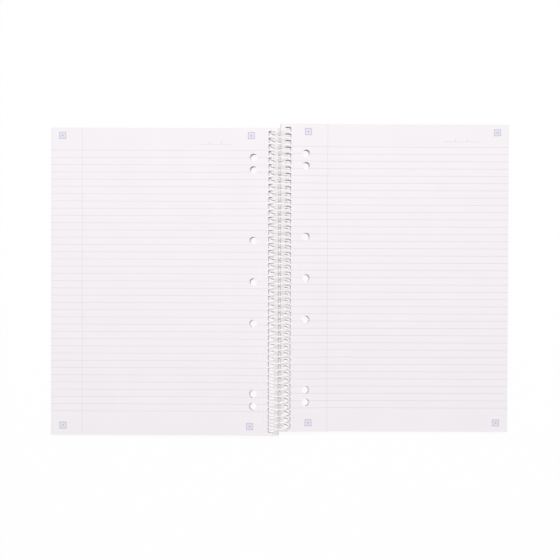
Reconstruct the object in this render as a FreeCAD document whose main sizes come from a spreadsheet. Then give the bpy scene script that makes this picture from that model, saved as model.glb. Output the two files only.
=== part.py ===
import FreeCAD, Part
import Sketcher
import math
import os

# An A4+ spiral notebook that lies open and flat, seen from above with its head towards +Y.
# The origin is on the table, under the middle of the wire coil. The coil's axis is along Y.
# The left half is the front cover with the turned sheets on it, and the right half is the
# back cover with the remaining sheets. The two halves are the same shape turned by 180
# degrees about Z, because each half is shifted along the coil by half of what the wire
# advances over its upper arc.

Vector = FreeCAD.Vector

doc = FreeCAD.newDocument("open_spiral_notebook")


# Driving sizes, in millimetres, degrees or plain counts

SIZES = [
    ("sheet_height", 297.0, "head to tail of a sheet"),
    ("sheet_width", 219.4, "outer edge of the top sheet to its punched edge"),
    ("page_stack", 4.6, "thickness of the sheets on one side"),
    ("cover_thickness", 0.9, "thickness of one cover"),
    ("coil_diameter", 18.0, "coil, middle of the wire to middle of the wire"),
    ("wire_diameter", 1.0, "coil wire with its coating"),
    ("coil_pitch", 6.35, "advance of the coil in one turn, and spacing of the slots"),
    ("slot_count", 46, "slots along one punched edge"),
    ("slot_width", 6.0, "slot across the sheet"),
    ("slot_height", 4.8, "slot along the punched edge"),
    ("slot_corner", 1.2, "corner radius of a slot"),
    ("strip_width", 3.7, "paper between a slot and the punched edge"),
    ("edge_lean", 1.2, "how far the lowest sheet lies nearer the coil than the top one"),
    ("closing_gap", 2.0, "room between the two stacks at the coil when it is shut"),
    ("crown_edge", 12.0, "where the raised, level strip beside the coil ends"),
    ("slope_run", 50.0, "length over which each half comes down to the table"),
    ("filing_offset", 25.5, "filing holes from the coil's middle"),
    ("filing_diameter", 7.2, "filing holes"),
    ("filing_four", 80.0, "spacing of the four filing holes"),
    ("filing_three", 108.0, "spacing of the three filing holes"),
    ("tail_bend", 1.6, "radius at which each wire end turns in"),
    ("tail_length", 2.4, "straight stretch of each turned-in wire end"),
    ("tail_angle", 6.0, "how far past the coil's lowest point each end turns in"),
]


def make_sheet(name, rows):
    sheet = doc.addObject("Spreadsheet::Sheet", name)
    for row, (alias, value, note) in enumerate(rows, start=1):
        sheet.set("A%d" % row, alias)
        sheet.set("B%d" % row, repr(value))
        sheet.setAlias("B%d" % row, alias)
        sheet.set("C%d" % row, note)
    doc.recompute()
    return sheet


sizes = make_sheet("sizes", SIZES)


# Places that follow from the driving sizes

coil_radius = sizes.coil_diameter / 2
wire_radius = sizes.wire_diameter / 2
coil_axis_height = coil_radius + wire_radius
stack = sizes.page_stack + sizes.cover_thickness
top_depth = sizes.closing_gap / 2
bottom_depth = top_depth + stack
rise = coil_axis_height - bottom_depth

# The wire goes through a stack from the angle low_angle to the angle high_angle below the
# level of the axis. The slots are centred on it half way down the stack.
high_angle = math.degrees(math.asin(top_depth / coil_radius))
low_angle = math.degrees(math.asin(bottom_depth / coil_radius))
wire_at_top = coil_radius * math.cos(math.radians(high_angle))
wire_at_bottom = coil_radius * math.cos(math.radians(low_angle))
slot_middle = (wire_at_top + wire_at_bottom) / 2
slot_at_top = slot_middle + sizes.edge_lean / 2
punched_edge_top = slot_at_top - sizes.slot_width / 2 - sizes.strip_width
outer_edge = punched_edge_top + sizes.sheet_width

# Along the coil, the wire advances over its upper arc from one half's slots to the other's,
# and a little more on its way down through each stack, so the slots lean along Y too.
wire_advance = sizes.coil_pitch * (180 + high_angle + low_angle) / 360
half_shift = wire_advance / 2
advance_in_stack = sizes.coil_pitch * (low_angle - high_angle) / 360
lean_across = sizes.edge_lean / stack
lean_along = advance_in_stack / stack
first_slot = -sizes.coil_pitch * (sizes.slot_count - 1) / 2

places = make_sheet("places", [
    ("rise", rise, "how far the coil lifts the covers beside it"),
    ("outer_edge", outer_edge, "outer edge from the coil's middle"),
    ("slope_end", sizes.crown_edge + sizes.slope_run, "where each half reaches the table"),
    ("half_shift", half_shift, "shift of each half along the coil"),
    ("lean_across", lean_across, "sideways lean of a slot for each unit of depth"),
    ("lean_along", lean_along, "lean of a slot along the coil for each unit of depth"),
    ("slot_run", sizes.coil_pitch * (sizes.slot_count - 1), "first slot to last slot"),
])

CUT_ROOM = 2.0    # how far above a leaf the outlines of its holes are drawn


# Drawing helpers

def origin_plane(body, role):
    return [plane for plane in body.Origin.OriginFeatures if plane.Role == role][0]


def new_sketch(body, name, role, height=0.0):
    sketch = body.newObject("Sketcher::SketchObject", name)
    sketch.AttachmentSupport = [(origin_plane(body, role), "")]
    sketch.MapMode = "FlatFace"
    sketch.AttachmentOffset = FreeCAD.Placement(Vector(0, 0, height), FreeCAD.Rotation())
    return sketch


def line(sketch, x_start, y_start, x_end, y_end):
    start = Vector(x_start, y_start, 0)
    return sketch.addGeometry(Part.LineSegment(start, Vector(x_end, y_end, 0)), False)


def arc(sketch, x_centre, y_centre, radius, angle_start, angle_end):
    circle = Part.Circle(Vector(x_centre, y_centre, 0), Vector(0, 0, 1), radius)
    turn = Part.ArcOfCircle(circle, math.radians(angle_start), math.radians(angle_end))
    return sketch.addGeometry(turn, False)


def relate(sketch, kind, *ends):
    sketch.addConstraint(Sketcher.Constraint(kind, *ends))


def measure(sketch, kind, ends, value, expression):
    index = sketch.addConstraint(Sketcher.Constraint(kind, *ends, value))
    sketch.setExpression("Constraints[%d]" % index, expression)


# One leaf: a cover, or the sheets that lie on it. Its section is drawn in the XZ plane from
# the outer edge, level on the table, up a slope of two equal arcs and level again beside the
# coil, where the punched edge leans towards the coil's middle.

START = 1
END = 2
CENTRE = 3
ORIGIN = (-1, 1)
GROUND = -1


def section_sketch(body, thickness, thickness_cell, edge_bottom, edge_top):
    crown = sizes.crown_edge
    slope_end = places.slope_end
    turn = 2 * math.degrees(math.atan(rise / sizes.slope_run))
    radius = sizes.slope_run / (2 * math.sin(math.radians(turn)))
    sketch = new_sketch(body, body.Name + "_section", "XZ_Plane")

    under = line(sketch, -outer_edge, 0, -slope_end, 0)
    under_foot = arc(sketch, -slope_end, radius, radius, -90, -90 + turn)
    under_brow = arc(sketch, -crown, rise - radius, radius, 90, 90 + turn)
    under_crown = line(sketch, -crown, rise, -edge_bottom, rise)
    punched = line(sketch, -edge_bottom, rise, -edge_top, rise + thickness)
    top_crown = line(sketch, -edge_top, rise + thickness, -crown, rise + thickness)
    top_brow = arc(sketch, -crown, thickness + rise - radius, radius, 90, 90 + turn)
    top_foot = arc(sketch, -slope_end, thickness + radius, radius, -90, -90 + turn)
    top = line(sketch, -slope_end, thickness, -outer_edge, thickness)
    fore_edge = line(sketch, -outer_edge, thickness, -outer_edge, 0)

    relate(sketch, "PointOnObject", under, START, GROUND)
    for level in (under, under_crown, top_crown, top):
        relate(sketch, "Horizontal", level)
    relate(sketch, "Vertical", fore_edge)
    relate(sketch, "Tangent", under, END, under_foot, START)
    relate(sketch, "Tangent", under_foot, END, under_brow, END)
    relate(sketch, "Tangent", under_brow, START, under_crown, START)
    relate(sketch, "Coincident", under_crown, END, punched, START)
    relate(sketch, "Coincident", punched, END, top_crown, START)
    relate(sketch, "Tangent", top_crown, END, top_brow, START)
    relate(sketch, "Tangent", top_brow, END, top_foot, END)
    relate(sketch, "Tangent", top_foot, START, top, START)
    relate(sketch, "Coincident", top, END, fore_edge, START)
    relate(sketch, "Coincident", fore_edge, END, under, START)
    relate(sketch, "Equal", under_foot, under_brow)
    relate(sketch, "Equal", top_foot, top_brow)
    relate(sketch, "Vertical", under, END, top, START)
    relate(sketch, "Vertical", under_crown, START, top_crown, END)

    measure(sketch, "DistanceX", (under, START, *ORIGIN), outer_edge, "places.outer_edge")
    measure(sketch, "DistanceX", (under, END, *ORIGIN), slope_end, "places.slope_end")
    measure(sketch, "DistanceX", (under_crown, START, *ORIGIN), crown, "sizes.crown_edge")
    measure(sketch, "DistanceY", (*ORIGIN, under_crown, START), rise, "places.rise")
    measure(sketch, "DistanceX", (under_crown, END, *ORIGIN), edge_bottom, str(edge_bottom))
    measure(sketch, "DistanceX", (top_crown, START, *ORIGIN), edge_top, str(edge_top))
    measure(sketch, "DistanceY", (fore_edge, END, fore_edge, START), thickness, thickness_cell)
    measure(sketch, "DistanceY", (punched, START, punched, END), thickness, thickness_cell)
    return sketch


def slot_sketch(body, x_middle, y_middle, height):
    half_wide = sizes.slot_width / 2
    half_high = sizes.slot_height / 2
    corner = sizes.slot_corner
    left = x_middle - half_wide
    right = x_middle + half_wide
    low = y_middle - half_high
    high = y_middle + half_high
    sketch = new_sketch(body, body.Name + "_slot", "XY_Plane", height)

    south = line(sketch, left + corner, low, right - corner, low)
    south_east = arc(sketch, right - corner, low + corner, corner, -90, 0)
    east = line(sketch, right, low + corner, right, high - corner)
    north_east = arc(sketch, right - corner, high - corner, corner, 0, 90)
    north = line(sketch, right - corner, high, left + corner, high)
    north_west = arc(sketch, left + corner, high - corner, corner, 90, 180)
    west = line(sketch, left, high - corner, left, low + corner)
    south_west = arc(sketch, left + corner, low + corner, corner, 180, 270)

    outline = [south, south_east, east, north_east, north, north_west, west, south_west]
    for piece, following in zip(outline, outline[1:] + outline[:1]):
        relate(sketch, "Tangent", piece, END, following, START)
    for level in (south, north):
        relate(sketch, "Horizontal", level)
    for upright in (east, west):
        relate(sketch, "Vertical", upright)
    for other in (north_east, north_west, south_west):
        relate(sketch, "Equal", south_east, other)
    measure(sketch, "Radius", (south_east,), corner, "sizes.slot_corner")
    measure(sketch, "DistanceX", (west, START, east, START), sizes.slot_width, "sizes.slot_width")
    measure(sketch, "DistanceY", (south, START, north, START), sizes.slot_height, "sizes.slot_height")
    measure(sketch, "DistanceX", (east, START, *ORIGIN), -right, str(-right))
    measure(sketch, "DistanceY", (south, START, *ORIGIN), -low, str(-low))
    return sketch


def filing_sketch(body, height):
    sketch = new_sketch(body, body.Name + "_filing", "XY_Plane", height)
    outer_pair = 1.5 * sizes.filing_four
    inner_pair = 0.5 * sizes.filing_four
    rows = [
        (-outer_pair, "1.5 * sizes.filing_four"),
        (-inner_pair, "0.5 * sizes.filing_four"),
        (inner_pair, "0.5 * sizes.filing_four"),
        (outer_pair, "1.5 * sizes.filing_four"),
        (-sizes.filing_three, "sizes.filing_three"),
        (sizes.filing_three, "sizes.filing_three"),
        (0.0, None),
    ]
    for along, cell in rows:
        circle = Part.Circle(Vector(-sizes.filing_offset, along, 0), Vector(0, 0, 1),
                             sizes.filing_diameter / 2)
        hole = sketch.addGeometry(circle, False)
        measure(sketch, "Diameter", (hole,), sizes.filing_diameter, "sizes.filing_diameter")
        measure(sketch, "DistanceX", (hole, CENTRE, *ORIGIN), sizes.filing_offset, "sizes.filing_offset")
        if cell is None:
            relate(sketch, "PointOnObject", hole, CENTRE, GROUND)
        elif along < 0:
            measure(sketch, "DistanceY", (hole, CENTRE, *ORIGIN), -along, cell)
        else:
            measure(sketch, "DistanceY", (*ORIGIN, hole, CENTRE), along, cell)
    return sketch


def cut(body, sketch, depth):
    pocket = body.newObject("PartDesign::Pocket", sketch.Name + "_cut")
    pocket.Profile = sketch
    pocket.Type = "Length"
    pocket.Length = depth
    pocket.Refine = False
    return pocket


def make_leaf(label, base, thickness, thickness_cell, turned):
    body = doc.addObject("PartDesign::Body", label)
    body.Label = label
    # Depths of the leaf's two faces below the top of the whole stack
    bottom = stack - base
    top = bottom - thickness
    edge_top = punched_edge_top - lean_across * top
    edge_bottom = punched_edge_top - lean_across * bottom

    section = section_sketch(body, thickness, thickness_cell, edge_bottom, edge_top)
    block = body.newObject("PartDesign::Pad", label + "_block")
    block.Profile = section
    block.Midplane = True
    block.Length = sizes.sheet_height
    block.setExpression("Length", "sizes.sheet_height")
    block.Refine = False
    doc.recompute()
    whole = body.Shape.Volume

    height = rise + thickness + CUT_ROOM
    drawn_at = top - CUT_ROOM
    middle = stack / 2
    x_slot = -(slot_middle - lean_across * (drawn_at - middle))
    y_slot = first_slot - lean_along * (drawn_at - middle)
    slots = cut(body, slot_sketch(body, x_slot, y_slot, height), height + CUT_ROOM)
    slots.UseCustomVector = True
    slots.AlongSketchNormal = True
    slots.Direction = Vector(lean_across, -lean_along, -1)
    slots.setExpression("Direction.x", "places.lean_across")
    slots.setExpression("Direction.y", "-places.lean_along")
    doc.recompute()
    row = body.newObject("PartDesign::LinearPattern", label + "_slot_row")
    row.Originals = [slots]
    row.Direction = (origin_plane(body, "Y_Axis"), [""])
    row.Length = places.slot_run
    row.Occurrences = int(sizes.slot_count)
    row.setExpression("Length", "places.slot_run")
    row.setExpression("Occurrences", "sizes.slot_count")
    row.Refine = False
    body.Tip = row
    doc.recompute()
    slotted = body.Shape.Volume

    filing = cut(body, filing_sketch(body, height), height + CUT_ROOM)
    body.Tip = filing
    turn = FreeCAD.Rotation(Vector(0, 0, 1), 180 if turned else 0)
    body.Placement = FreeCAD.Placement(Vector(0, half_shift if turned else -half_shift, base), turn)
    body.setExpression("Placement.Base.y", ("" if turned else "-") + "places.half_shift")
    if base > 0:
        body.setExpression("Placement.Base.z", "sizes.cover_thickness")
    doc.recompute()

    corners = (4 - math.pi) * sizes.slot_corner ** 2
    slot_area = sizes.slot_width * sizes.slot_height - corners
    hole_area = math.pi * (sizes.filing_diameter / 2) ** 2
    slots_cut = (whole - slotted) / (slot_area * thickness)
    holes_cut = (slotted - body.Shape.Volume) / (hole_area * thickness)
    print(label, "slots cut", round(slots_cut, 2), "filing holes cut", round(holes_cut, 2))
    return body


# The coil: one wire. Its path is a right-handed helix of short arcs, and each end turns in
# along the coil below the sheets, so that it can't snag or work its way out of the slots.

ARCS_PER_TURN = 6
SEW_ROOM = 0.02


def on_coil(angle):
    # Angle 0 is the first turn's left side, 90 its top and 180 its right side
    turned = math.radians(angle)
    along = first_slot + sizes.coil_pitch * (angle - 90) / 360
    return Vector(-coil_radius * math.cos(turned), along, coil_axis_height + coil_radius * math.sin(turned))


def tail_path(start, outwards, inwards):
    across = (inwards - outwards * inwards.dot(outwards)).normalize()
    centre = start + across * sizes.tail_bend
    whole_turn = math.acos(outwards.dot(inwards))

    def on_bend(share):
        turned = whole_turn * share
        return centre + (outwards * math.sin(turned) - across * math.cos(turned)) * sizes.tail_bend

    bend = Part.Arc(start, on_bend(0.5), on_bend(1.0)).toShape()
    straight = Part.LineSegment(on_bend(1.0), on_bend(1.0) + inwards * sizes.tail_length).toShape()
    return [bend, straight]


def tube_faces(path, ring):
    # The ring is carried along the path, so that each stretch starts on the last one's edge
    faces = []
    for edge in path:
        if edge.Curve.TypeId == "Part::GeomLine":
            step = edge.valueAt(edge.LastParameter) - edge.valueAt(edge.FirstParameter)
            faces.append(ring.extrude(step))
            ring = ring.translated(step)
        else:
            turned = math.degrees(edge.LastParameter - edge.FirstParameter)
            faces.append(ring.revolve(edge.Curve.Center, edge.Curve.Axis, turned))
            ring = ring.rotated(edge.Curve.Center, edge.Curve.Axis, turned)
    return faces, ring


def make_coil(label):
    first = -90 - sizes.tail_angle
    last = 270 + sizes.tail_angle + 360 * (sizes.slot_count - 1)
    steps = round(ARCS_PER_TURN * (last - first) / 360)
    angles = [first + (last - first) * step / steps for step in range(steps + 1)]
    coil = []
    for angle, following in zip(angles, angles[1:]):
        halfway = on_coil((angle + following) / 2)
        coil.append(Part.Arc(on_coil(angle), halfway, on_coil(following)).toShape())
    backwards = coil[0].tangentAt(coil[0].FirstParameter) * -1
    first_tail = tail_path(on_coil(first), backwards, Vector(0, 1, 0))
    onwards = coil[-1].tangentAt(coil[-1].LastParameter)
    last_tail = tail_path(on_coil(last), onwards, Vector(0, -1, 0))

    first_ring = Part.makeCircle(wire_radius, on_coil(first), backwards)
    faces, last_ring = tube_faces(coil, first_ring)
    for tail, ring in ((first_tail, first_ring), (last_tail, last_ring)):
        tail_faces, end_ring = tube_faces(tail, ring)
        faces += tail_faces + [Part.Face(Part.Wire([end_ring]))]
    skin = Part.makeCompound(faces)
    skin.sewShape(SEW_ROOM)
    shell = skin.Shells[0]
    solid = Part.makeSolid(shell)
    if solid.Volume < 0:
        solid.reverse()
    length = sum(edge.Length for edge in coil + first_tail + last_tail)
    fill = solid.Volume / (math.pi * wire_radius ** 2 * length)
    print(label, "length", round(length, 1), "volume against section times length", round(fill, 4),
          "shells", len(skin.Shells))
    feature = doc.addObject("Part::Feature", label)
    feature.Label = label
    feature.Shape = solid
    return feature


page_base = sizes.cover_thickness
parts = [
    make_leaf("front_cover", 0.0, sizes.cover_thickness, "sizes.cover_thickness", False),
    make_leaf("left_pages", page_base, sizes.page_stack, "sizes.page_stack", False),
    make_leaf("back_cover", 0.0, sizes.cover_thickness, "sizes.cover_thickness", True),
    make_leaf("right_pages", page_base, sizes.page_stack, "sizes.page_stack", True),
    make_coil("binding_coil"),
]


# Checks, then one file for each piece

doc.recompute()
for thing in doc.Objects:
    if "Invalid" in thing.State or "Error" in thing.State:
        raise RuntimeError(thing.Name + " has the state " + str(thing.State))

os.makedirs("parts", exist_ok=True)
for piece in parts:
    if piece.Shape.isNull() or not piece.Shape.isValid():
        raise RuntimeError(piece.Label + " has no valid shape")
    piece.Shape.exportStep(os.path.join("parts", piece.Label + ".step"))
    print(piece.Label, piece.Shape.BoundBox, "solids", len(piece.Shape.Solids),
          "volume", round(piece.Shape.Volume, 1))
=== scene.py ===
import bmesh
import bpy
import math
import random
from mathutils import Matrix, Vector


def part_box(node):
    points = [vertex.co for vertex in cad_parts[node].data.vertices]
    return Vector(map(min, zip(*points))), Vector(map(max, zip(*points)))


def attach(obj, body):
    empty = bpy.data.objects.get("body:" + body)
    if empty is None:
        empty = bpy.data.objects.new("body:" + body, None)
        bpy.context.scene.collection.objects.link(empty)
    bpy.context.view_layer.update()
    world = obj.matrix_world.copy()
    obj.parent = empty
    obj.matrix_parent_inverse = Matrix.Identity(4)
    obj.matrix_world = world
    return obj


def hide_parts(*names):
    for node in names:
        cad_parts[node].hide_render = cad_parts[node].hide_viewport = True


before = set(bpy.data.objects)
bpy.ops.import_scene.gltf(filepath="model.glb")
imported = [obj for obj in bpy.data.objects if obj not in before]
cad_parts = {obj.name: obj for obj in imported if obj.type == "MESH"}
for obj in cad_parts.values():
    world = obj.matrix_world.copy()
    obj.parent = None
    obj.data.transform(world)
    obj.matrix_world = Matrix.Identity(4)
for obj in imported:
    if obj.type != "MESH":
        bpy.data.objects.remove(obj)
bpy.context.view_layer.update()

MM = 0.001
random.seed(46)


# Sizes of the notebook, in metres, with the frame's own boxes where they give one

LEFT_LOW, LEFT_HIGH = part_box("left_pages")
RIGHT_LOW, RIGHT_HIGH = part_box("right_pages")
COVER_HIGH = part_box("front_cover")[1]

SHEET_HEIGHT = LEFT_HIGH[1] - LEFT_LOW[1]
OUTER_EDGE = RIGHT_HIGH[0]
HALF_SHIFT = (RIGHT_HIGH[1] + RIGHT_LOW[1]) / 2      # of each half along the coil
COVER_THICKNESS = LEFT_LOW[2]
RISE = COVER_HIGH[2] - COVER_THICKNESS               # of each half towards the coil
PAGE_STACK = LEFT_HIGH[2] - RISE - COVER_THICKNESS
STACK = PAGE_STACK + COVER_THICKNESS

COIL_RADIUS = 9.0 * MM
WIRE_RADIUS = 0.5 * MM
COIL_AXIS_HEIGHT = COIL_RADIUS + WIRE_RADIUS
PITCH = 6.35 * MM
TAIL_BEND = 1.6 * MM
TAIL_LENGTH = 2.4 * MM
TAIL_ANGLE = math.radians(6.0)

SLOTS = 46
FIRST_SLOT = -PITCH * (SLOTS - 1) / 2
SLOT_WIDTH = 6.0 * MM
SLOT_HEIGHT = 4.95 * MM
SLOT_CORNER = 1.2 * MM
STRIP = 3.7 * MM             # paper between the slots and the punched edge
CROWN_EDGE = 12.0 * MM       # the sheets are level up to here, then slope down
SLOPE_RUN = 50.0 * MM
FILING_OFFSET = 25.5 * MM
FILING_RADIUS = 3.6 * MM
FILING_ROWS = [-120 * MM, -108 * MM, -40 * MM, 0.0, 40 * MM, 108 * MM, 120 * MM]

TOP_DEPTH = COIL_AXIS_HEIGHT - RISE - STACK
HIGH_ANGLE = math.asin(TOP_DEPTH / COIL_RADIUS)
LOW_ANGLE = math.asin((TOP_DEPTH + STACK) / COIL_RADIUS)
SLOT_MIDDLE = COIL_RADIUS * (math.cos(HIGH_ANGLE) + math.cos(LOW_ANGLE)) / 2

EDGE_LEAN = 1.2 * MM         # how far the lowest holes lie nearer the coil than the top ones
LEAN_ACROSS = EDGE_LEAN / STACK
SLIP_TO_TAIL = 0.6 * MM      # how far they lie nearer the tail

PACKETS = 13                 # sheets are drawn in this many thin packets for each half
PACKET = PAGE_STACK / PACKETS
PAPER_GAP = 0.02 * MM        # air between two packets, so that each edge shows
LOOSE_ACROSS = 0.35          # most that a packet's fore-edge lies back, in millimetres
LOOSE_ALONG = 0.1            # most that it lies off along the coil, in millimetres
SHEET_THICKNESS = 0.11 * MM


# Camera, above the middle of the coil and turned a little, as in the photograph

PHOTO_SIDE = 560
PAGE_MM_PER_PIXEL = 0.9663
CAMERA_ABOVE_PAGES = 1.0
CAMERA_TOWARDS_HEAD = 0.014
CAMERA_ASIDE = 0.45 * MM
CAMERA_ROLL = math.radians(0.19)
CAMERA_REACH = 20
SENSOR = 36.0


def place_camera():
    camera = bpy.data.cameras.new("camera")
    camera.sensor_width = SENSOR
    camera.sensor_fit = "HORIZONTAL"
    seen = PHOTO_SIDE * PAGE_MM_PER_PIXEL * MM
    camera.lens = SENSOR * CAMERA_ABOVE_PAGES / seen
    camera.clip_end = CAMERA_REACH
    stand = bpy.data.objects.new("camera", camera)
    stand.location = (CAMERA_ASIDE, CAMERA_TOWARDS_HEAD, CAMERA_ABOVE_PAGES + STACK)
    tilt = -math.atan(CAMERA_TOWARDS_HEAD / CAMERA_ABOVE_PAGES)
    stand.rotation_euler = (tilt, 0, CAMERA_ROLL)
    bpy.context.scene.collection.objects.link(stand)
    bpy.context.scene.camera = stand


# Node helpers. A mask is a value of 1 where something shows and 0 where it doesn't.

def socket_value(node, name, value):
    node.inputs[name].default_value = value


def math_node(tree, operation, first, second=None, third=None):
    node = tree.nodes.new("ShaderNodeMath")
    node.operation = operation
    for index, value in enumerate((first, second, third)):
        if value is None:
            continue
        if isinstance(value, (int, float)):
            node.inputs[index].default_value = value
        else:
            tree.links.new(value, node.inputs[index])
    return node.outputs[0]


def band(tree, value, middle, half_width):
    return math_node(tree, "COMPARE", value, middle, half_width)


def between(tree, value, low, high):
    return band(tree, value, (low + high) / 2, (high - low) / 2)


def either(tree, *masks):
    total = masks[0]
    for mask in masks[1:]:
        total = math_node(tree, "MAXIMUM", total, mask)
    return total


def both(tree, *masks):
    total = masks[0]
    for mask in masks[1:]:
        total = math_node(tree, "MULTIPLY", total, mask)
    return total


def mixed(tree, mask, under, over, share=None):
    # over on top of under where the mask is 1, at the given share of its strength
    if share is not None:
        mask = math_node(tree, "MULTIPLY", mask, share)
    mix = tree.nodes.new("ShaderNodeMix")
    mix.data_type = "RGBA"
    tree.links.new(mask, mix.inputs["Factor"])
    for name, colour in (("A", under), ("B", over)):
        target = [item for item in mix.inputs if item.name == name and item.type == "RGBA"][0]
        if isinstance(colour, tuple):
            target.default_value = colour
        else:
            tree.links.new(colour, target)
    return [item for item in mix.outputs if item.type == "RGBA"][0]


def shaded(colour, share):
    return tuple(part * share for part in colour[:3]) + (1,)


def new_material(name, colour, roughness):
    material = bpy.data.materials.new(name)
    material.use_nodes = True
    shader = material.node_tree.nodes["Principled BSDF"]
    socket_value(shader, "Base Color", colour)
    socket_value(shader, "Roughness", roughness)
    return material, material.node_tree, shader


def object_coordinates(tree):
    return tree.nodes.new("ShaderNodeTexCoord").outputs["Object"]


def split_axes(tree, where):
    parts = tree.nodes.new("ShaderNodeSeparateXYZ")
    tree.links.new(where, parts.inputs[0])
    return parts.outputs


def noise(tree, where, scale, detail):
    node = tree.nodes.new("ShaderNodeTexNoise")
    socket_value(node, "Scale", scale)
    socket_value(node, "Detail", detail)
    tree.links.new(where, node.inputs["Vector"])
    return node.outputs["Fac"]


def add_bump(tree, shader, height, strength, distance):
    bump = tree.nodes.new("ShaderNodeBump")
    socket_value(bump, "Strength", strength)
    socket_value(bump, "Distance", distance)
    tree.links.new(height, bump.inputs["Height"])
    tree.links.new(bump.outputs["Normal"], shader.inputs["Normal"])


# Soft cloudiness and a fine tooth, shared by the paper and the board

CLOUD_DETAIL = 4.0
TOOTH_DETAIL = 2.0
CLOUD_SHADE = 0.965
TOOTH_STRENGTH = 0.25

# Each is the scale of the clouds, the scale of the tooth and the tooth's depth
PAPER_FIBRE = (30.0, 1400.0, 0.02 * MM)
EDGE_FIBRE = (250.0, 2500.0, 0.05 * MM)
BOARD_FIBRE = (14.0, 900.0, 0.05 * MM)


def fibre_group():
    group = bpy.data.node_groups.new("fibre", "ShaderNodeTree")
    for label, kind, in_out in (("Coordinates", "NodeSocketVector", "INPUT"),
                                ("Cloud Scale", "NodeSocketFloat", "INPUT"),
                                ("Tooth Scale", "NodeSocketFloat", "INPUT"),
                                ("Cloud", "NodeSocketFloat", "OUTPUT"),
                                ("Tooth", "NodeSocketFloat", "OUTPUT")):
        group.interface.new_socket(name=label, in_out=in_out, socket_type=kind)
    inside = group.nodes.new("NodeGroupInput")
    out = group.nodes.new("NodeGroupOutput")
    for label, detail in (("Cloud", CLOUD_DETAIL), ("Tooth", TOOTH_DETAIL)):
        texture = group.nodes.new("ShaderNodeTexNoise")
        socket_value(texture, "Detail", detail)
        group.links.new(inside.outputs["Coordinates"], texture.inputs["Vector"])
        group.links.new(inside.outputs[label + " Scale"], texture.inputs["Scale"])
        group.links.new(texture.outputs["Fac"], out.inputs[label])
    return group


FIBRE = fibre_group()


def add_fibre(tree, shader, where, colour, fibre_kind):
    cloud_scale, tooth_scale, depth = fibre_kind
    fibre = tree.nodes.new("ShaderNodeGroup")
    fibre.node_tree = FIBRE
    socket_value(fibre, "Cloud Scale", cloud_scale)
    socket_value(fibre, "Tooth Scale", tooth_scale)
    tree.links.new(where, fibre.inputs["Coordinates"])
    add_bump(tree, shader, fibre.outputs["Tooth"], TOOTH_STRENGTH, depth)
    return mixed(tree, fibre.outputs["Cloud"], colour, shaded(colour, CLOUD_SHADE))


# Paper

PAPER_COLOUR = (0.905, 0.860, 0.892, 1)
PAPER_ROUGHNESS = 0.8
PRINT_ROUGHNESS = 0.75
PALE_RULE = (0.665, 0.632, 0.657, 1)       # the turned sheet's side, printed a little paler
DARK_RULE = (0.616, 0.585, 0.610, 1)
MARGIN_COLOUR = (0.70, 0.62, 0.68, 1)
MARK_COLOUR = (0.57, 0.57, 0.68, 1)
MARK_TINT = (0.77, 0.75, 0.83, 1)

# Painted shade: the cut edges are greyed and warmed so that the hole walls and the gap look
# shaded
CUT_EDGE_SHADE_COLOUR = (0.80, 0.725, 0.72, 1)
CUT_ROUGHNESS = 0.9
# Painted shade: a dark line where two sheets meet, for the shade in the crevice between them
SHEET_GAP_SHADE_COLOUR = (0.45, 0.385, 0.38, 1)    # the fine line between two sheets
BETWEEN_HALF_WIDTH = 0.016 * MM
SHEET_GAP_SHADE_SHARE = 0.7

RULE_STEP = 7.0 * MM
RULE_COUNT = 37
RULE_HALF_WIDTH = 0.13 * MM
MARGIN_HALF_WIDTH = 0.14 * MM
STROKE_SLANT = -0.35
STROKE_HALF_WIDTH = 0.2 * MM
STROKE_HEIGHT = 3.2 * MM
MARK_HALF_SIDE = 3.4 * MM
MARK_LINE = 0.8 * MM
MARK_DISC = 1.1 * MM
PERFORATION_HALF_STEP = 0.5 * MM
PERFORATION_GAP = 0.2 * MM
PERFORATION_HALF_WIDTH = 0.12 * MM
PERFORATION_SHARE = 0.5

# What is printed on the top sheets. A date line is its two ends and its place along the sheet.
LEFT_PRINT = {
    "rule_colour": PALE_RULE,
    "first_rule": 124.7 * MM,
    "margin": -190.6 * MM,
    "date_line": (-79 * MM, -46 * MM, 130.7 * MM),
    "strokes": (-68.5 * MM, -57 * MM),
    "marks": ((-209.6 * MM, 138.8 * MM), (-27.5 * MM, 138.8 * MM),
              (-209.2 * MM, -141.2 * MM), (-28.3 * MM, -141.6 * MM)),
    "perforation": -14.9 * MM,
}
RIGHT_PRINT = {
    "rule_colour": DARK_RULE,
    "first_rule": 128.6 * MM,
    "margin": 46.2 * MM,
    "date_line": (158.4 * MM, 193 * MM, 133.8 * MM),
    "strokes": (168.8 * MM, 180.5 * MM),
    "marks": ((27.4 * MM, 142.9 * MM), (209.8 * MM, 142.7 * MM),
              (28.0 * MM, -137.7 * MM), (209.6 * MM, -137.7 * MM)),
    "perforation": 13.9 * MM,
}


def plain_paper():
    material, tree, shader = new_material("plain_paper", PAPER_COLOUR, PAPER_ROUGHNESS)
    where = object_coordinates(tree)
    colour = add_fibre(tree, shader, where, PAPER_COLOUR, PAPER_FIBRE)
    tree.links.new(colour, shader.inputs["Base Color"])
    return material


def slope_share(tree, across):
    # 1 near the coil and 0 far from it. Two parabolas that meet half-way down the slope stand
    # in for the two arcs of bend_height.
    away = math_node(tree, "ABSOLUTE", across)
    run = math_node(tree, "DIVIDE", math_node(tree, "SUBTRACT", away, CROWN_EDGE), SLOPE_RUN)
    run = math_node(tree, "MAXIMUM", math_node(tree, "MINIMUM", run, 1.0), 0.0)
    upper = math_node(tree, "POWER", math_node(tree, "MINIMUM", run, 0.5), 2)
    rest = math_node(tree, "SUBTRACT", 1.0, math_node(tree, "MAXIMUM", run, 0.5))
    lower = math_node(tree, "POWER", rest, 2)
    share = math_node(tree, "MULTIPLY_ADD", upper, -2.0, 0.5)
    return math_node(tree, "MULTIPLY_ADD", lower, 2.0, share)


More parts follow.
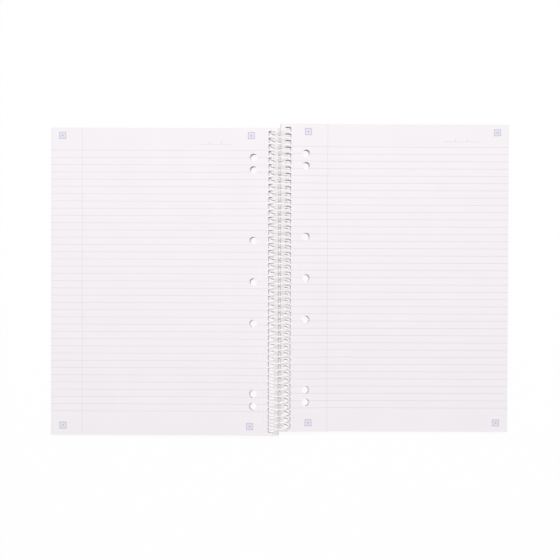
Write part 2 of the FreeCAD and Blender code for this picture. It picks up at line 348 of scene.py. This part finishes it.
def cut_paper():
    # The cut edges of the stack, painted greyer and warmer than a sheet's face as shade with a
    # warm tint of bounced light, and a fine dark line of painted shade between sheets
    material, tree, shader = new_material("cut_edges_painted_shade", CUT_EDGE_SHADE_COLOUR, CUT_ROUGHNESS)
    where = object_coordinates(tree)
    colour = add_fibre(tree, shader, where, CUT_EDGE_SHADE_COLOUR, EDGE_FIBRE)
    across, _, height = split_axes(tree, where)
    flattened = math_node(tree, "MULTIPLY_ADD", slope_share(tree, across), -RISE, height)
    nearest = math_node(tree, "PINGPONG", flattened, SHEET_THICKNESS / 2)
    # Painted shade between sheets, one line for each sheet's thickness
    line = math_node(tree, "LESS_THAN", nearest, BETWEEN_HALF_WIDTH)
    colour = mixed(tree, line, colour, SHEET_GAP_SHADE_COLOUR, SHEET_GAP_SHADE_SHARE)
    tree.links.new(colour, shader.inputs["Base Color"])
    return material


def ruling(tree, along, first_rule):
    last_rule = first_rule - RULE_STEP * (RULE_COUNT - 1)
    from_first = math_node(tree, "SUBTRACT", along, first_rule)
    nearest = math_node(tree, "PINGPONG", from_first, RULE_STEP / 2)
    printed = between(tree, along, last_rule - RULE_HALF_WIDTH, first_rule + RULE_HALF_WIDTH)
    return both(tree, math_node(tree, "LESS_THAN", nearest, RULE_HALF_WIDTH), printed)


def date_field(tree, across, along, date_line, strokes):
    # A short line with two slanting strokes on it
    low, high, line_at = date_line
    masks = [both(tree, between(tree, across, low, high),
                  band(tree, along, line_at, RULE_HALF_WIDTH))]
    above = math_node(tree, "SUBTRACT", along, line_at)
    slanted = math_node(tree, "MULTIPLY_ADD", above, STROKE_SLANT, across)
    for stroke in strokes:
        masks.append(both(tree, band(tree, slanted, stroke, STROKE_HALF_WIDTH),
                          between(tree, along, line_at, line_at + STROKE_HEIGHT)))
    return either(tree, *masks)


def corner_marks(tree, across, along, marks):
    # Masks for the squares' tinted fields, and for the frames and discs printed on them
    fields = []
    lines = []
    for x_mark, y_mark in marks:
        x_away = math_node(tree, "ABSOLUTE", math_node(tree, "SUBTRACT", across, x_mark))
        y_away = math_node(tree, "ABSOLUTE", math_node(tree, "SUBTRACT", along, y_mark))
        reach = math_node(tree, "MAXIMUM", x_away, y_away)
        squared = math_node(tree, "ADD", math_node(tree, "POWER", x_away, 2),
                            math_node(tree, "POWER", y_away, 2))
        fields.append(math_node(tree, "LESS_THAN", reach, MARK_HALF_SIDE))
        lines.append(between(tree, reach, MARK_HALF_SIDE - MARK_LINE, MARK_HALF_SIDE))
        lines.append(math_node(tree, "LESS_THAN", squared, MARK_DISC ** 2))
    return either(tree, *fields), either(tree, *lines)


def perforations(tree, across, along, line_at):
    step = math_node(tree, "PINGPONG", along, PERFORATION_HALF_STEP)
    dashes = math_node(tree, "GREATER_THAN", step, PERFORATION_GAP)
    return both(tree, band(tree, across, line_at, PERFORATION_HALF_WIDTH), dashes)


def printed_paper(name, rule_colour, first_rule, margin, date_line, strokes, marks, perforation):
    material, tree, shader = new_material(name, PAPER_COLOUR, PRINT_ROUGHNESS)
    where = object_coordinates(tree)
    colour = add_fibre(tree, shader, where, PAPER_COLOUR, PAPER_FIBRE)
    across, along, _ = split_axes(tree, where)
    fields, lines = corner_marks(tree, across, along, marks)
    colour = mixed(tree, ruling(tree, along, first_rule), colour, rule_colour)
    colour = mixed(tree, band(tree, across, margin, MARGIN_HALF_WIDTH), colour, MARGIN_COLOUR)
    colour = mixed(tree, date_field(tree, across, along, date_line, strokes), colour, rule_colour)
    colour = mixed(tree, fields, colour, MARK_TINT)
    colour = mixed(tree, lines, colour, MARK_COLOUR)
    colour = mixed(tree, perforations(tree, across, along, perforation), colour, rule_colour,
                   PERFORATION_SHARE)
    tree.links.new(colour, shader.inputs["Base Color"])
    return material


# Cover board

BOARD_COLOUR = (0.74, 0.62, 0.54, 1)
FLECK_DARK = (0.42, 0.32, 0.25, 1)
FLECK_LIGHT = (0.88, 0.79, 0.71, 1)
FLECK_SCALE = 700.0
FLECK_DETAIL = 3.0
FLECK_STRETCH = (1.0, 0.28, 1.0)
DARK_ABOVE = 0.64
DARK_SHARE = 0.30
LIGHT_BELOW = 0.37
LIGHT_SHARE = 0.35
FOLD_LINE = 19.0 * MM
FOLD_HALF_WIDTH = 0.35 * MM
FOLD_SHADE_SHARE = 0.35
RUBBED_REACH = 2.4 * MM
RUBBED_SHARE = 0.5
BOARD_ROUGHNESS = 0.6        # where the flecks' own roughness isn't read
FLECK_ROUGHNESS = 0.25
LEAST_ROUGHNESS = 0.45


def cover_board():
    # Plain board: clouds, short dark and light fibres, painted shade along a fold line beside the
    # coil, rubbed edges
    material, tree, shader = new_material("cover_board", BOARD_COLOUR, BOARD_ROUGHNESS)
    where = object_coordinates(tree)
    colour = add_fibre(tree, shader, where, BOARD_COLOUR, BOARD_FIBRE)
    stretch = tree.nodes.new("ShaderNodeMapping")
    socket_value(stretch, "Scale", FLECK_STRETCH)
    tree.links.new(where, stretch.inputs["Vector"])
    flecks = noise(tree, stretch.outputs["Vector"], FLECK_SCALE, FLECK_DETAIL)
    dark = math_node(tree, "GREATER_THAN", flecks, DARK_ABOVE)
    light = math_node(tree, "LESS_THAN", flecks, LIGHT_BELOW)
    colour = mixed(tree, dark, colour, FLECK_DARK, DARK_SHARE)
    colour = mixed(tree, light, colour, FLECK_LIGHT, LIGHT_SHARE)

    away = math_node(tree, "ABSOLUTE", split_axes(tree, where)[0])
    # Painted shade: a dark band along the fold line, for the shade of the crease
    fold = band(tree, away, FOLD_LINE, FOLD_HALF_WIDTH)
    colour = mixed(tree, fold, colour, FLECK_DARK, FOLD_SHADE_SHARE)
    ragged = math_node(tree, "MULTIPLY", flecks, RUBBED_REACH)
    rubbed = math_node(tree, "LESS_THAN", math_node(tree, "SUBTRACT", OUTER_EDGE, away), ragged)
    colour = mixed(tree, rubbed, colour, FLECK_LIGHT, RUBBED_SHARE)
    tree.links.new(colour, shader.inputs["Base Color"])
    roughness = math_node(tree, "MULTIPLY_ADD", flecks, FLECK_ROUGHNESS, LEAST_ROUGHNESS)
    tree.links.new(roughness, shader.inputs["Roughness"])
    return material


# Coated wire

WIRE_COLOUR = (0.98, 0.975, 0.98, 1)
WIRE_SHADE = 0.96
WIRE_ROUGHNESS = 0.22
COAT_WEIGHT = 0.6
COAT_ROUGHNESS = 0.12
SPECKLE_SCALE = 900.0
SPECKLE_DETAIL = 2.0
SPECKLE_STRENGTH = 0.1
SPECKLE_DEPTH = 0.02 * MM


def coated_wire():
    material, tree, shader = new_material("white_coated_wire", WIRE_COLOUR, WIRE_ROUGHNESS)
    socket_value(shader, "Coat Weight", COAT_WEIGHT)
    socket_value(shader, "Coat Roughness", COAT_ROUGHNESS)
    speckle = noise(tree, object_coordinates(tree), SPECKLE_SCALE, SPECKLE_DETAIL)
    add_bump(tree, shader, speckle, SPECKLE_STRENGTH, SPECKLE_DEPTH)
    colour = mixed(tree, speckle, WIRE_COLOUR, shaded(WIRE_COLOUR, WIRE_SHADE))
    tree.links.new(colour, shader.inputs["Base Color"])
    return material


# Sheets. Each is drawn flat for the left half, its outline and holes filled in one go, then
# cut along lines across the slope, thickened, and lifted to the slope's height.

CORNER_STEPS = 4
FILING_SIDES = 28
SLOPE_STEPS = 16
SLOPE_CUTS = [CROWN_EDGE + SLOPE_RUN * step / SLOPE_STEPS for step in range(SLOPE_STEPS + 1)]
FLAT_CUTS = [100 * MM, 140 * MM, 180 * MM]
UPRIGHT = 0.5                # a face whose normal rises less than this is a cut edge
PRINT_INDEX = 1              # places of the materials of a page block, after the plain paper
EDGE_INDEX = 2


def bend_height(distance):
    # Height of the table side of the covers at a distance from the coil's middle
    if distance <= CROWN_EDGE:
        return RISE
    if distance >= CROWN_EDGE + SLOPE_RUN:
        return 0.0
    turn = 2 * math.atan(RISE / SLOPE_RUN)
    radius = SLOPE_RUN / (2 * math.sin(turn))
    along = distance - CROWN_EDGE
    if along <= SLOPE_RUN / 2:
        return RISE - radius + math.sqrt(radius ** 2 - along ** 2)
    return radius - math.sqrt(radius ** 2 - (SLOPE_RUN - along) ** 2)


def add_rectangle(bm, x_low, x_high, y_low, y_high, corner_radius=0.0):
    # A closed run of edges, rounded at the corners where a radius is given
    corners = ((x_low, y_low), (x_high, y_low), (x_high, y_high), (x_low, y_high))
    verts = [bm.verts.new((x, y, 0)) for x, y in corners]
    face = bm.faces.new(verts)
    if corner_radius:
        made = bmesh.ops.bevel(bm, geom=verts, offset=corner_radius, offset_type="OFFSET",
                               segments=CORNER_STEPS, profile=0.5, affect="VERTICES",
                               material=-1)
        face = made["verts"][0].link_faces[0]
    bmesh.ops.delete(bm, geom=[face], context="FACES_ONLY")


def flat_sheet(depth, side, fore_edge_shift=0.0, along_shift=0.0):
    # depth is measured down from the top of the stack to the middle of the packet
    bm = bmesh.new()
    slot_x = -(SLOT_MIDDLE - LEAN_ACROSS * (depth - STACK / 2))
    slip = side * SLIP_TO_TAIL * depth / STACK
    filing_x = -FILING_OFFSET + LEAN_ACROSS * depth
    punched_edge = slot_x + SLOT_WIDTH / 2 + STRIP
    outer_edge = -OUTER_EDGE + fore_edge_shift
    add_rectangle(bm, outer_edge, punched_edge, -SHEET_HEIGHT / 2 + along_shift,
                  SHEET_HEIGHT / 2 + along_shift)
    for index in range(SLOTS):
        middle = FIRST_SLOT + PITCH * index + slip
        add_rectangle(bm, slot_x - SLOT_WIDTH / 2, slot_x + SLOT_WIDTH / 2,
                      middle - SLOT_HEIGHT / 2, middle + SLOT_HEIGHT / 2, SLOT_CORNER)
    for row in FILING_ROWS:
        bmesh.ops.create_circle(bm, segments=FILING_SIDES, radius=FILING_RADIUS,
                                matrix=Matrix.Translation((filing_x, row + slip, 0)))
    bmesh.ops.triangle_fill(bm, edges=list(bm.edges), use_beauty=True, use_dissolve=False,
                            normal=(0, 0, 1))
    for cut in SLOPE_CUTS + FLAT_CUTS:
        bmesh.ops.bisect_plane(bm, geom=list(bm.verts) + list(bm.edges) + list(bm.faces),
                               plane_co=(-cut, 0, 0), plane_no=(1, 0, 0))
    return bm


def thicken(bm, bottom, thickness):
    made = bmesh.ops.extrude_face_region(bm, geom=list(bm.faces))
    raised = [item for item in made["geom"] if isinstance(item, bmesh.types.BMVert)]
    bmesh.ops.translate(bm, verts=raised, vec=(0, 0, thickness))
    for vert in bm.verts:
        vert.co.z += bottom + bend_height(-vert.co.x)
    bmesh.ops.recalc_face_normals(bm, faces=list(bm.faces))


def mesh_object(name, bm, materials):
    mesh = bpy.data.meshes.new(name)
    bm.to_mesh(mesh)
    bm.free()
    for material in materials:
        mesh.materials.append(material)
    made = bpy.data.objects.new(name, mesh)
    bpy.context.scene.collection.objects.link(made)
    return made


def settle(bm, side):
    # side is -1 for the left half, and 1 for the right half, which is the left one turned
    turn = Matrix.Rotation(math.pi if side > 0 else 0.0, 4, "Z")
    bmesh.ops.transform(bm, matrix=Matrix.Translation((0, side * HALF_SHIFT, 0)) @ turn,
                        verts=list(bm.verts))


def cover_leaf(name, node, body, side, material):
    leaf = flat_sheet(STACK - COVER_THICKNESS / 2, side)
    thicken(leaf, 0.0, COVER_THICKNESS)
    settle(leaf, side)
    made = mesh_object(name, leaf, [material])
    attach(made, body)
    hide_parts(node)


def page_block(name, node, body, side, materials):
    whole = bpy.data.meshes.new(name)
    block = bmesh.new()
    for index in range(PACKETS):
        bottom = COVER_THICKNESS + PACKET * index
        depth = STACK - bottom - PACKET / 2
        top_sheet = index == PACKETS - 1
        back = 0.0 if top_sheet else random.uniform(0.0, LOOSE_ACROSS) * MM
        along = 0.0 if top_sheet else random.uniform(0.0, LOOSE_ALONG) * MM
        sheet = flat_sheet(depth, side, back, along)
        thicken(sheet, bottom, PACKET - (0 if top_sheet else PAPER_GAP))
        for face in sheet.faces:
            if abs(face.normal.z) < UPRIGHT:
                face.material_index = EDGE_INDEX
            elif top_sheet and face.normal.z > UPRIGHT:
                face.material_index = PRINT_INDEX
        sheet.to_mesh(whole)
        sheet.free()
        block.from_mesh(whole)
    settle(block, side)
    made = mesh_object(name, block, materials)
    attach(made, body)
    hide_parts(node)


# The coil: a ring of the wire's section spun about the coil's axis while it moves along

RING_SIDES = 12
STEPS_PER_TURN = 32
TAIL_BEND_STEPS = 10
# The straight end of a tail and its rounded tip: share of the length, and narrowing of the ring
TAIL_RINGS = ((1.0, 1.0), (0.06, 0.8), (0.03, 0.55))


def coil_point(angle):
    # Angle 0 is the first turn's left side, and a quarter turn its top
    along = FIRST_SLOT + PITCH * (angle - math.pi / 2) / math.tau
    return Vector((-COIL_RADIUS * math.cos(angle), along,
                   COIL_AXIS_HEIGHT + COIL_RADIUS * math.sin(angle)))


def coil_direction(angle):
    along = PITCH / math.tau
    direction = Vector((COIL_RADIUS * math.sin(angle), along, COIL_RADIUS * math.cos(angle)))
    return direction.normalized()


def edges_of(items):
    return [item for item in items if isinstance(item, bmesh.types.BMEdge)]


def add_tail(bm, edges, start, outwards, inwards):
    across = (inwards - outwards * inwards.dot(outwards)).normalized()
    whole_turn = math.acos(outwards.dot(inwards))
    bent = bmesh.ops.spin(bm, geom=edges, cent=start + across * TAIL_BEND,
                          axis=outwards.cross(across), angle=whole_turn,
                          steps=TAIL_BEND_STEPS, use_merge=False)
    edges = edges_of(bent["geom_last"])
    for share, shrink in TAIL_RINGS:
        out = bmesh.ops.extrude_edge_only(bm, edges=edges)
        verts = [item for item in out["geom"] if isinstance(item, bmesh.types.BMVert)]
        bmesh.ops.translate(bm, verts=verts, vec=inwards * TAIL_LENGTH * share)
        middle = sum((vert.co for vert in verts), Vector()) / len(verts)
        for vert in verts:
            vert.co = middle + (vert.co - middle) * shrink
        edges = [edge for edge in edges_of(out["geom"])
                 if all(vert in verts for vert in edge.verts)]
    bmesh.ops.contextual_create(bm, geom=edges)


def wire_coil(material):
    # From below the first slots, once round for each slot, to below the last ones
    first = -math.pi / 2 - TAIL_ANGLE
    last = math.tau * (SLOTS - 1) + math.pi * 1.5 + TAIL_ANGLE
    steps = round(STEPS_PER_TURN * (last - first) / math.tau)
    bm = bmesh.new()
    start = coil_point(first)
    facing = coil_direction(first).to_track_quat("Z", "Y").to_matrix().to_4x4()
    bmesh.ops.create_circle(bm, segments=RING_SIDES, radius=WIRE_RADIUS,
                            matrix=Matrix.Translation(start) @ facing)
    first_edges = list(bm.edges)
    along_step = PITCH * (last - first) / math.tau / steps
    spun = bmesh.ops.spin(bm, geom=first_edges, cent=(0, 0, COIL_AXIS_HEIGHT), axis=(0, 1, 0),
                          dvec=(0, along_step, 0), angle=last - first, steps=steps,
                          use_merge=False)
    add_tail(bm, edges_of(spun["geom_last"]), coil_point(last), coil_direction(last),
             Vector((0, -1, 0)))
    add_tail(bm, first_edges, start, -coil_direction(first), Vector((0, 1, 0)))
    bmesh.ops.recalc_face_normals(bm, faces=list(bm.faces))
    for face in bm.faces:
        face.smooth = True
    made = mesh_object("coil_wire", bm, [material])
    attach(made, "coil")
    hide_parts("binding_coil")


# Floor, lamp and world

FLOOR_HALF_SIDE = 4.0
FLOOR_COLOUR = (0.95, 0.95, 0.95, 1)
FLOOR_ROUGHNESS = 0.9
FLOOR_GLOW = 0.93            # share of the floor's look that is plain white to the camera
SKY_LIGHT = 0.53             # strength of the world's light on the notebook
WHITE = (1, 1, 1, 1)
LAMP_PLACE = (-0.02, 0.74, 2.0)
LAMP_SIZE = 0.85
LAMP_POWER = 24.4


def seen_rays(tree):
    # 1 where the camera sees a surface straight, in gloss or through glass, and 0 for its light
    path = tree.nodes.new("ShaderNodeLightPath")
    return either(tree, path.outputs["Is Camera Ray"], path.outputs["Is Glossy Ray"],
                  path.outputs["Is Transmission Ray"])


def make_floor():
    bm = bmesh.new()
    bmesh.ops.create_grid(bm, x_segments=1, y_segments=1, size=FLOOR_HALF_SIDE)
    material, tree, shader = new_material("white_floor", FLOOR_COLOUR, FLOOR_ROUGHNESS)
    socket_value(shader, "Specular IOR Level", 0.0)
    glow = tree.nodes.new("ShaderNodeEmission")
    socket_value(glow, "Color", WHITE)
    socket_value(glow, "Strength", 1.0)
    mix = tree.nodes.new("ShaderNodeMixShader")
    tree.links.new(math_node(tree, "MULTIPLY", seen_rays(tree), FLOOR_GLOW), mix.inputs["Fac"])
    tree.links.new(shader.outputs["BSDF"], mix.inputs[1])
    tree.links.new(glow.outputs["Emission"], mix.inputs[2])
    tree.links.new(mix.outputs["Shader"], tree.nodes["Material Output"].inputs["Surface"])
    floor = mesh_object("floor", bm, [material])


def make_lamp():
    # Beyond the head of the notebook, aimed at the origin
    lamp = bpy.data.lights.new("key", "AREA")
    lamp.shape = "SQUARE"
    lamp.size = LAMP_SIZE
    lamp.energy = LAMP_POWER
    stand = bpy.data.objects.new("key", lamp)
    stand.location = LAMP_PLACE
    aim = (Vector((0, 0, 0)) - Vector(LAMP_PLACE)).to_track_quat("-Z", "Y")
    stand.rotation_euler = aim.to_euler()
    bpy.context.scene.collection.objects.link(stand)


def make_world():
    # Plain white to the camera, and SKY_LIGHT for the light that it gives
    world = bpy.data.worlds.new("studio")
    world.use_nodes = True
    tree = world.node_tree
    background = tree.nodes["Background"]
    socket_value(background, "Color", WHITE)
    strength = math_node(tree, "MULTIPLY_ADD", seen_rays(tree), 1.0 - SKY_LIGHT, SKY_LIGHT)
    tree.links.new(strength, background.inputs["Strength"])
    bpy.context.scene.world = world


place_camera()
paper = plain_paper()
cut_edges = cut_paper()
left_sheet = printed_paper("printed_paper_left", **LEFT_PRINT)
right_sheet = printed_paper("printed_paper_right", **RIGHT_PRINT)
page_block("left_page_block", "left_pages", "front_half", -1, [paper, left_sheet, cut_edges])
page_block("right_page_block", "right_pages", "back_half", 1, [paper, right_sheet, cut_edges])
wire_coil(coated_wire())

board = cover_board()
cover_leaf("front_cover_board", "front_cover", "front_half", -1, board)
cover_leaf("back_cover_board", "back_cover", "back_half", 1, board)

make_floor()
make_world()
make_lamp()
bpy.context.scene.view_settings.view_transform = "Standard"
